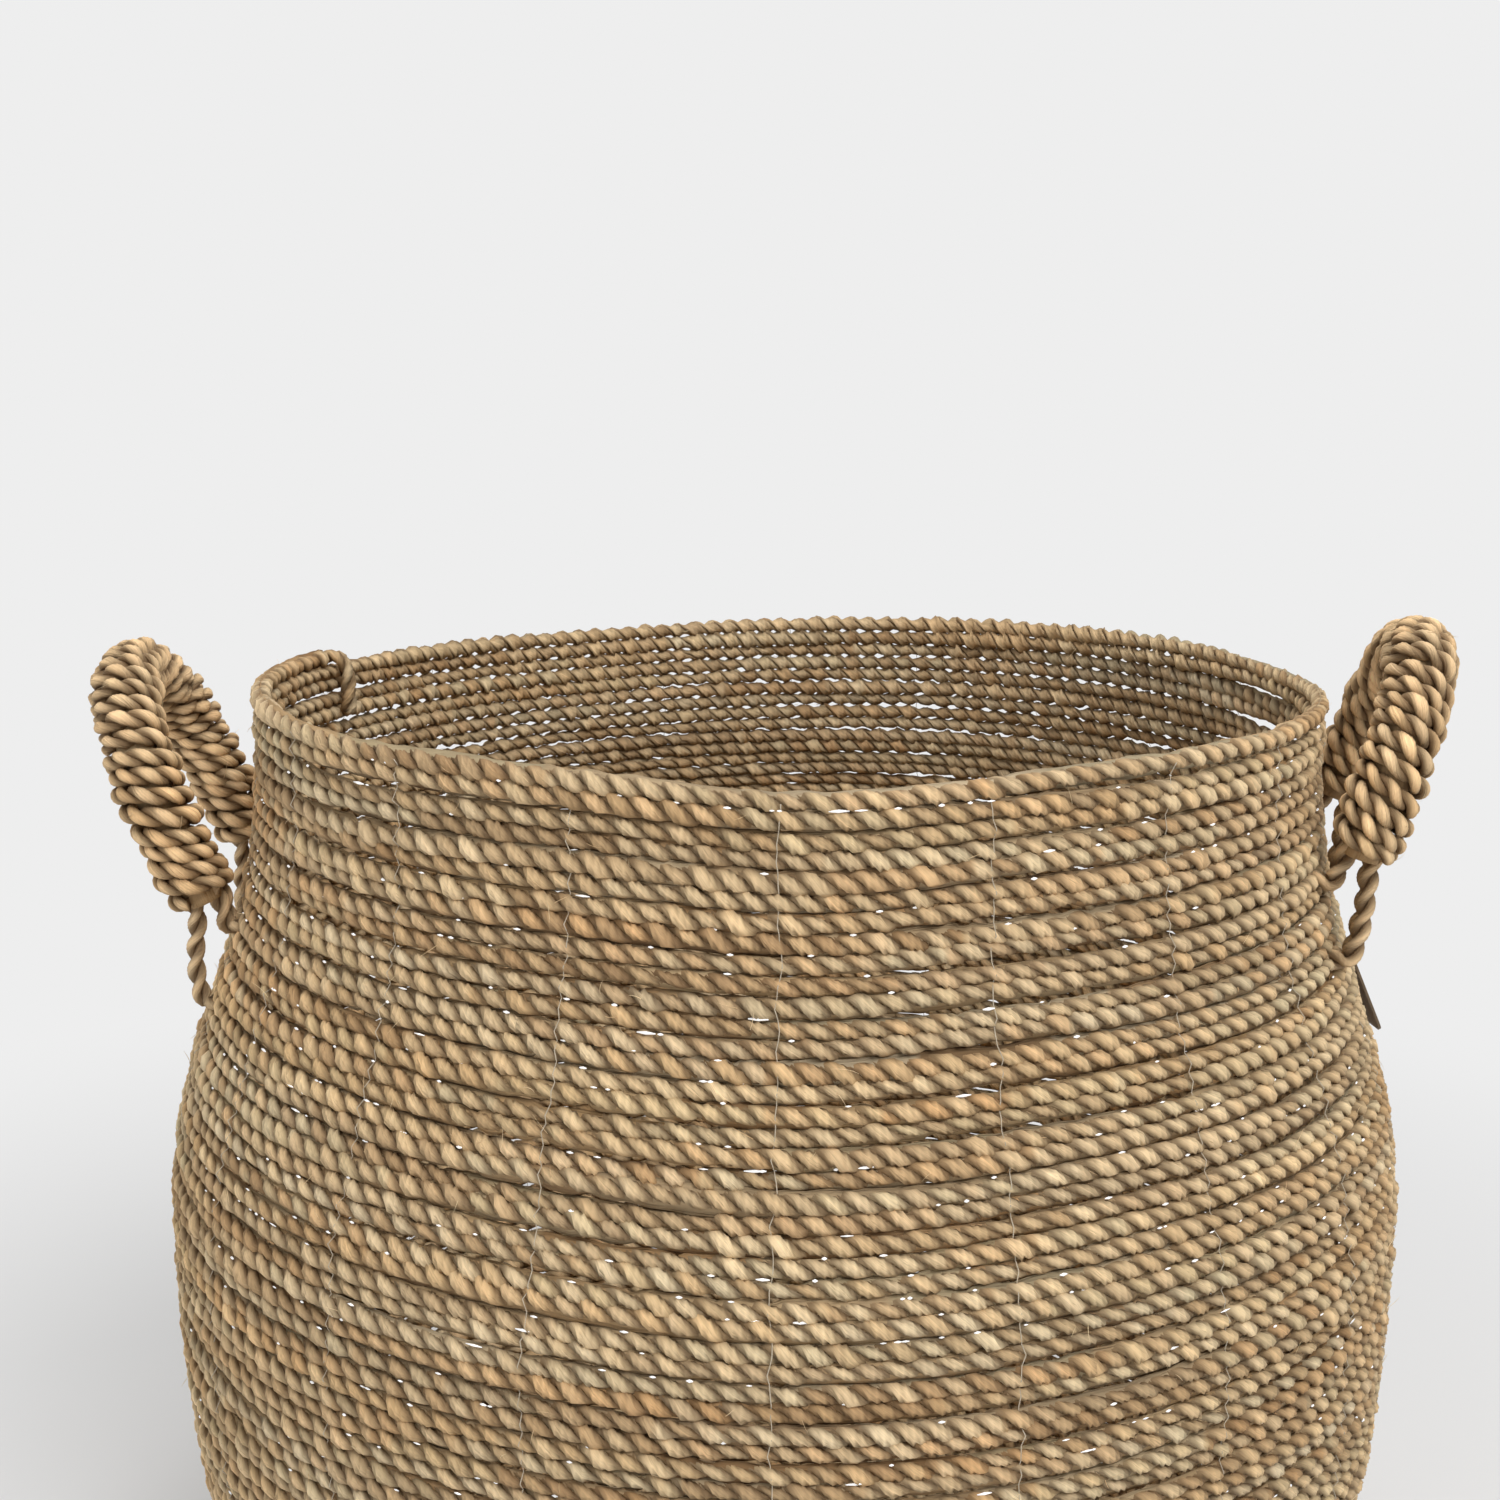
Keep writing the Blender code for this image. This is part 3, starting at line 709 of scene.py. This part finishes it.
def bundle(line, radius, seed, sides=12):
    # a bundle of leaves laid lengthwise, as one thick strand
    tangents = unit(np.gradient(line, axis=0))
    side = carryAlong(line, np.cross(tangents[0], [0.3, 0.9, 0.1]))
    other = np.cross(tangents, side)
    lengths = lengthsAlong(line)
    around = tau * np.arange(sides) / sides
    ragged = 1 + 0.05 * np.cos(around * 5 + 1)[None, :] + 0.03 * wobble(lengths, 0.01, seed)[:, None]
    rings = (line[:, None, :] + side[:, None, :] * (np.cos(around) * radius * ragged)[:, :, None]
             + other[:, None, :] * (np.sin(around) * radius * ragged)[:, :, None])
    # the core's leaves are a quarter darker, and carry a fixed painted shade of 0.6
    return {"rings": rings, "colour": leafColours(lengths, seed) * 0.75, "lengths": lengths,
            "around": np.broadcast_to(around, (len(line), sides)), "open": np.full((len(line), sides), 0.6)}


def makeGrips():
    for where, seed in [(GripPlace(*facts), 300 + 50 * number) for number, facts in enumerate(grip["sides"])]:
        body = "handle_" + where.name
        route, line = windCord(where, seed)
        strands = twistCord(route, spokesFrom(route, line), gripCord, seed, calm=0.7)
        place(strandMesh("visual_grip_cord_" + where.name, strands, gripGrass), body,
              "seagrass_cord", "handle_wrap_" + where.name)
        inside = [bundle(line[::6], grip["coreRadius"], seed + 9)]
        core = strandMesh("visual_grip_core_" + where.name, inside, gripGrass)
        place(core, body, "grip_core", "handle_core_" + where.name)
        makeLashings(where, seed)


# the cords that tie each foot to the wall
lashing = {"footSpacing": 0.0105, "innerDepth": 0.0068, "upperDrop": 0.010,
           "lowerDrop": 0.041, "twinGap": 0.0062, "doubled": {"left": "tie", "right": "hang"}}


def makeLashings(where, seed):
    side = where.side
    upper = where.footHeight - lashing["upperDrop"]
    lower = where.footHeight - lashing["lowerDrop"]
    end = lashing["footSpacing"] / 2
    spacing = lashCord["lay"] / lashCord["steps"]
    for label, across in (("front", -grip["legSpacing"] / 2), ("back", grip["legSpacing"] / 2)):
        def outside(height, distance):
            return where.beside(wallAt(height, across, -distance), across, height)

        def inside(height, distance):
            return where.beside(wallAt(height, across, basket["course"] + distance), across, height)

        tie = [where.at(across, 0.010, -end), where.at(across, -0.003, -end),
               outside(upper, 0.005), outside(upper, 0.0), inside(upper, 0.0), inside(upper - 0.004, lashing["innerDepth"]),
               inside((upper + lower) / 2, lashing["innerDepth"] + 0.001),
               inside(lower + 0.004, lashing["innerDepth"]), inside(lower, 0.0), outside(lower, -0.002)]
        hang = [outside(lower, -0.003), outside(lower, 0.0), outside(lower + 0.0015, 0.006),
                (outside(lower + 0.0015, 0.006) + where.at(across, 0, end)) / 2 + where.out * 0.001,
                where.at(across, -0.004, end), where.at(across, 0.010, end)]
        node = f"lashing_{where.name}_{label}"
        for part, stops, wallPoint, footPoint in (
            ("tie", tie, outside(upper, 0.002), where.at(across, -0.001, -end)),
            ("hang", hang, outside(lower + 0.002, 0.004), where.at(across, -0.002, end)),
        ):
            route = evenly(smoothRoute(stops), spacing)
            strands = twistCord(route, carryAlong(route, [side, 0.2, 0.3]), lashCord, seed + 17, calm=0.7)
            if part == lashing["doubled"][where.name]:
                beside = carryAlong(route, where.across) * lashing["twinGap"]
                wanders = [wobble(lengthsAlong(route), 0.02, seed + axis) for axis in range(3)]
                twin = route + beside + 0.0006 * np.stack(wanders, axis=1)
                strands += twistCord(twin, carryAlong(twin, [side, 0.2, 0.3]), lashCord, seed + 31, calm=0.7)
            piece = strandMesh(f"visual_{node}_{part}", strands, gripGrass)
            place(piece, None, "seagrass_cord", node)
            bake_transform(piece)


makeGrips()
print("grips and lashings")


# clear thread that ties each course to the one below
thread = {"radius": 0.00020, "sides": 4, "proud": 0.0001, "tuck": 0.0019, "alpha": 0.55}
# its short floats, which glow with painted light so they show as bright specks
glint = {"count": 1900, "shortest": 0.0007, "longest": 0.0014, "longShare": 0.12, "longer": 2.6,
         "thinnest": 0.00030, "thickest": 0.0006, "depth": 0.0019, "glow": 0.42}


def makeStitches():
    finish = Finish("clearThread", Roughness=0.25, Specular_IOR_Level=0.6)
    finish.set("Base Color", (*srgb(228, 216, 194), 1))
    finish.set("Alpha", thread["alpha"])
    tubes = []
    distances = lengthsAlong(ropeLine)
    spread = tau / basket["stitchLines"]
    firstUp = basket["baseRadius"]
    for number in range(basket["stitchLines"]):
        angle = basket["stitchStart"] + spread * number
        lap = (ropeAngle - angle) / tau
        crossings = np.arange(math.ceil(lap.min()), math.floor(lap.max()) + 1)
        indexes = np.interp(-crossings, -lap, np.arange(len(lap)))
        indexes = np.sort(indexes[np.interp(indexes, np.arange(len(lap)), ropeUp) > firstUp]).astype(int)
        phase = tau * distances[indexes] / rope["lay"]
        reach = rope["offset"] + rope["deep"] + thread["proud"]
        crest = ropeLine[indexes] + ropeOutward[indexes] * (reach * ropeFat[indexes] * 0.93)[:, None]
        slip = np.tile([-np.sin(angle), np.cos(angle), 0.0], (len(indexes), 1))
        crest = crest + slip * (0.0003 * np.sin(phase))[:, None]
        between = (crest[1:] + crest[:-1]) / 2 - ropeOutward[indexes][1:] * thread["tuck"] + slip[1:] * 0.0002
        points = np.empty((2 * len(crest) - 1, 3))
        points[0::2] = crest
        points[1::2] = between
        side = np.broadcast_to(slip[:1], points.shape)
        tubes.append(plainTube(points, np.array(side), thread["radius"], thread["sides"]))
    piece = strandMesh("visual_stitch_threads", tubes, finish.material)
    nodes = [f"stitch_thread_{number + 1:02d}" for number in range(basket["stitchLines"])]
    place(piece, "root", "clear_thread", *nodes)


def makeGlints():
    # short floats of clear thread between the courses, given a painted glow (emission) so they show as bright specks
    finish = Finish("brightThread", Roughness=0.3)
    finish.set("Base Color", (*srgb(240, 240, 240), 1))
    # painted light: the floats glow though they are no lamp
    finish.set("Emission Color", (1, 1, 1, 1))
    finish.set("Emission Strength", glint["glow"])
    rng = np.random.default_rng(61)
    first = int(np.searchsorted(ropeUp, basket["baseRadius"] + 0.01))
    last = int(np.searchsorted(ropeUp, outlineLengths[-1] - 1.6 * basket["course"]))
    tubes = []
    for pick in rng.integers(first, last, glint["count"]):
        forward = unit(ropeLine[pick + 1] - ropeLine[pick - 1])
        upward = np.cross(forward, ropeOutward[pick])
        upward = upward * np.sign(upward[2])
        length = rng.uniform(glint["shortest"], glint["longest"])
        length = length * (glint["longer"] if rng.random() < glint["longShare"] else 1)
        middle = ropeLine[pick] + upward * basket["course"] * 0.5 + ropeOutward[pick] * glint["depth"]
        points = middle + forward * length * np.array([-1, 0, 1])[:, None]
        taper = np.array([0.35, 1.0, 0.35])
        side = np.tile(ropeOutward[pick], (3, 1))
        radius = rng.uniform(glint["thinnest"], glint["thickest"])
        tubes.append(plainTube(points, side, radius, 4, taper))
    place(strandMesh("visual_thread_floats", tubes, finish.material), "root", "clear_thread")


def plainTube(points, side, radius, sides, taper=None, colour=(0.5, 0.5, 0.5)):
    tangents = unit(np.gradient(points, axis=0))
    side = unit(side - tangents * np.sum(side * tangents, axis=1, keepdims=True))
    other = np.cross(tangents, side)
    around = tau * np.arange(sides) / sides
    radii = np.full(len(points), radius) if taper is None else radius * taper
    rings = (points[:, None, :] + side[:, None, :] * (np.cos(around)[None, :] * radii[:, None])[:, :, None]
             + other[:, None, :] * (np.sin(around)[None, :] * radii[:, None])[:, :, None])
    # thin tubes count as fully proud, which in the grass finish gives the painted highlight
    return {"rings": rings, "colour": np.tile(colour, (len(points), 1)), "lengths": lengthsAlong(points),
            "around": np.broadcast_to(around, (len(points), sides)), "open": np.ones((len(points), sides))}


makeStitches()
makeGlints()
print("stitches")


# fine hairs and leaf ends that stand off the rope
hairs = {"wall": 600, "grip": 16, "shortest": 0.002, "longest": 0.008, "radius": 0.00010}


def hairTubes(points, directions, seed):
    rng = np.random.default_rng(seed)
    tubes = []
    palette = [srgb(*colour) for colour in leaves["colours"][:4]]
    for point, direction in zip(points, directions):
        length = rng.uniform(hairs["shortest"], hairs["longest"])
        sideways = unit(np.cross(direction, rng.normal(size=3)))
        lift = rng.uniform(0.15, 0.7)
        heading = unit(sideways + direction * lift)
        curl = unit(rng.normal(size=3)) * rng.uniform(0.1, 0.5) * length
        steps = np.linspace(0, 1, 5)[:, None]
        route = point + heading * length * steps + curl * steps ** 2
        taper = np.array([1.0, 0.95, 0.85, 0.6, 0.25])
        radius = hairs["radius"] * rng.uniform(0.7, 1.5)
        tubes.append(plainTube(route, np.tile(direction, (5, 1)), radius, 4, taper, palette[rng.integers(4)]))
    return tubes


def makeHairs():
    rng = np.random.default_rng(77)
    first = int(np.searchsorted(ropeUp, basket["baseRadius"] + 0.03))
    picks = rng.integers(first, len(ropeLine), hairs["wall"])
    inner = rng.random(hairs["wall"]) < 0.25
    directions = np.where(inner[:, None], -ropeOutward[picks], ropeOutward[picks])
    points = ropeLine[picks] + directions * 0.0030
    place(strandMesh("visual_wall_hairs", hairTubes(points, directions, 5), wallGrass), "root", "seagrass_rope")
    for number, facts in enumerate(grip["sides"]):
        where = GripPlace(*facts)
        route, line = windCord(where, 300 + 50 * number)
        picks = rng.integers(10, len(route) - 10, hairs["grip"])
        spokes = spokesFrom(route[picks], line)
        tubes = hairTubes(route[picks] + spokes * 0.003, spokes, 9 + number)
        piece = strandMesh("visual_grip_hairs_" + where.name, tubes, gripGrass)
        place(piece, "handle_" + where.name, "seagrass_cord")


makeHairs()


# the small blank tab on the back right
tab = {"width": 0.036, "length": 0.055, "thickness": 0.0012, "angle": math.radians(6), "topHeight": 0.346,
       "lift": math.radians(5), "wallGap": 0.006, "eyeletDrop": 0.006, "eyeletSpacing": 0.020, "eyeletRadius": 0.0015,
       "cornerRadius": 0.004, "thread": 0.0005, "bow": 0.0016, "softEdge": 0.0002}


def clearPick(thing):
    for other in bpy.context.selected_objects:
        other.select_set(False)
    thing.select_set(True)
    bpy.context.view_layer.objects.active = thing


def tabDirections():
    height = tab["topHeight"]
    step = basket["course"]
    rise = float(wallRadius(np.array(height + step))) - float(wallRadius(np.array(height - step)))
    wallSlope = math.atan2(-rise, 2 * step)
    slope = wallSlope + tab["lift"]
    away = np.array([math.cos(tab["angle"]), math.sin(tab["angle"]), 0])
    across = np.array([-math.sin(tab["angle"]), math.cos(tab["angle"]), 0])
    down = away * math.sin(slope) - np.array([0, 0, math.cos(slope)])
    out = away * math.cos(slope) + np.array([0, 0, math.sin(slope)])
    low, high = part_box("blank_tab")
    middle = (np.array(low) + np.array(high)) / 2
    return middle, across, down, out


def makeTab():
    middle, across, down, out = tabDirections()
    finish = Finish("brownTab", Roughness=0.6)
    grain = finish.add("ShaderNodeTexCoord", {}, {}, 3)
    mottle = finish.add("ShaderNodeTexNoise", {}, {"Vector": grain, "Scale": 220.0, "Detail": 4.0})
    pores = finish.add("ShaderNodeTexVoronoi", {}, {"Vector": grain, "Scale": 900.0})
    finish.set("Base Color", finish.mix(mottle, (*srgb(84, 68, 50), 1), (*srgb(126, 106, 80), 1)))
    bump = finish.add("ShaderNodeBump", {}, {"Strength": 0.3, "Distance": 0.0004, "Height": pores + mottle})
    finish.set("Normal", bump)
    bpy.ops.mesh.primitive_cube_add(size=1, location=(0, 0, 0))
    piece = bpy.context.object
    piece.name = piece.data.name = "visual_blank_tab"
    clearPick(piece)
    piece.scale = (tab["width"], tab["length"], tab["thickness"])
    bpy.ops.object.transform_apply(location=False, rotation=False, scale=True)
    rounding = piece.modifiers.new("corners", "BEVEL")
    rounding.width = tab["cornerRadius"]
    rounding.segments = 5
    rounding.limit_method = "WEIGHT"
    weights = piece.data.attributes.new("bevel_weight_edge", "FLOAT", "EDGE")
    for edge in piece.data.edges:
        ends = [piece.data.vertices[index].co for index in edge.vertices]
        upright = abs(ends[0].z - ends[1].z) > tab["thickness"] / 2
        weights.data[edge.index].value = 1.0 if upright else 0.0
    bpy.ops.object.modifier_apply(modifier=rounding.name)
    for side in (-1, 1):
        spot = (side * tab["eyeletSpacing"] / 2, -(tab["length"] / 2 - tab["eyeletDrop"]), 0)
        bpy.ops.mesh.primitive_cylinder_add(radius=tab["eyeletRadius"], depth=0.01, vertices=20, location=spot)
        cutter = bpy.context.object
        clearPick(piece)
        hole = piece.modifiers.new("eyelet", "BOOLEAN")
        hole.object = cutter
        bpy.ops.object.modifier_apply(modifier=hole.name)
        bpy.data.objects.remove(cutter, do_unlink=True)
    softEdge = piece.modifiers.new("edges", "BEVEL")
    softEdge.width = tab["softEdge"]
    softEdge.segments = 2
    softEdge.limit_method = "ANGLE"
    bpy.ops.object.modifier_apply(modifier=softEdge.name)
    for vert in piece.data.vertices:
        sideways, lengthways, through = vert.co
        bend = tab["bow"] * (1 - (2 * sideways / tab["width"]) ** 2) * 0.5
        spot = middle + across * sideways + down * lengthways + out * (through + bend - tab["bow"] / 4)
        vert.co = spot
    piece.data.update()
    piece.data.materials.append(finish.material)
    clearPick(piece)
    bpy.ops.object.shade_smooth_by_angle(angle=math.radians(35))
    place(piece, "tab", "brown_tab", "blank_tab")
    row = middle - down * (tab["length"] / 2 - tab["eyeletDrop"])
    loop = []
    for side in (-1, 1):
        eyelet = row + across * side * tab["eyeletSpacing"] / 2
        pair = [eyelet - out * 0.0085, eyelet - out * 0.004, eyelet, eyelet + out * 0.0018]
        loop += pair if side < 0 else [eyelet + out * 0.0018, eyelet, eyelet - out * 0.004, eyelet - out * 0.0085]
    route = evenly(smoothRoute(loop, 6), 0.0008)
    tube = plainTube(route, carryAlong(route, down), tab["thread"], 8, None, srgb(214, 206, 190))
    tie = strandMesh("visual_tab_thread", [tube], bpy.data.materials["clearThread"])
    place(tie, None, "clear_thread", "tab_thread")
    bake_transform(tie)


makeTab()
print("tab")


# a pale studio
studio = {
    "backdrop": srgb(238, 238, 238),
    "floorShade": srgb(222, 222, 222),
    "shadowFrom": 0.42,
    "shadowTo": 1.05,
    "ambient": 0.47,
    "camera": (-0.0155, -0.7854, 0.5856),
    "down": math.radians(11.3),
    "lens": 44.9,
}


def softbox(name, where, aim, size, power):
    light = bpy.data.lights.new(name, "AREA")
    light.shape = "DISK"
    light.size = size
    light.energy = power
    thing = bpy.data.objects.new(name, light)
    bpy.context.scene.collection.objects.link(thing)
    thing.location = where
    thing.rotation_euler = (Vector(aim) - Vector(where)).to_track_quat("-Z", "Y").to_euler()


def makeStudio():
    bpy.ops.mesh.primitive_circle_add(vertices=96, radius=12, fill_type="NGON", location=(0, 0, 0))
    floor = bpy.context.object
    floor.name = floor.data.name = "studio_floor"
    finish = Finish("paleFloor", Roughness=0.9, Specular_IOR_Level=0.1)
    finish.set("Base Color", (*studio["floorShade"], 1))
    spot = finish.add("ShaderNodeTexCoord", {}, {}, 3)
    away = finish.add("ShaderNodeVectorMath", {"operation": "LENGTH"}, {0: spot}, 1)
    share = finish.add("ShaderNodeMapRange", {"interpolation_type": "SMOOTHSTEP"},
                       {0: away, 1: studio["shadowFrom"], 2: studio["shadowTo"], 3: 0.0, 4: 1.0})
    glow = finish.add("ShaderNodeEmission", {}, {"Color": (*studio["backdrop"], 1), "Strength": 1.0})
    blended = finish.add("ShaderNodeMixShader", {}, {0: share, 2: glow})
    finish.tree.links.new(finish.shader.outputs[0], blended.socket.node.inputs[1])
    finish.tree.links.new(blended.socket, finish.tree.nodes["Material Output"].inputs["Surface"])
    floor.data.materials.append(finish.material)

    world = bpy.data.worlds.new("softWorld")
    bpy.context.scene.world = world
    world.use_nodes = True
    tree = world.node_tree
    seen = tree.nodes["Background"]
    seen.inputs[0].default_value = (*studio["backdrop"], 1)
    around = tree.nodes.new("ShaderNodeBackground")
    around.inputs[0].default_value = (1, 1, 1, 1)
    around.inputs[1].default_value = studio["ambient"]
    path = tree.nodes.new("ShaderNodeLightPath")
    choose = tree.nodes.new("ShaderNodeMixShader")
    tree.links.new(path.outputs["Is Camera Ray"], choose.inputs[0])
    tree.links.new(around.outputs[0], choose.inputs[1])
    tree.links.new(seen.outputs[0], choose.inputs[2])
    tree.links.new(choose.outputs[0], tree.nodes["World Output"].inputs[0])

    softbox("key", (0.8, -1.6, 2.3), (0, 0, 0.3), 1.3, 36)
    softbox("fill", (-1.5, -1.7, 1.5), (0, 0, 0.3), 1.4, 7)
    softbox("top", (0.1, 0.3, 2.4), (0, 0, 0.4), 1.2, 20)

    camera = bpy.data.cameras.new("camera")
    camera.lens = studio["lens"]
    camera.sensor_width = 36
    shot = bpy.data.objects.new("camera", camera)
    bpy.context.scene.collection.objects.link(shot)
    shot.location = studio["camera"]
    shot.rotation_euler = (math.radians(90) - studio["down"], 0, 0)
    bpy.context.scene.camera = shot
    bpy.context.scene.view_settings.view_transform = "Standard"


makeStudio()
print("studio")
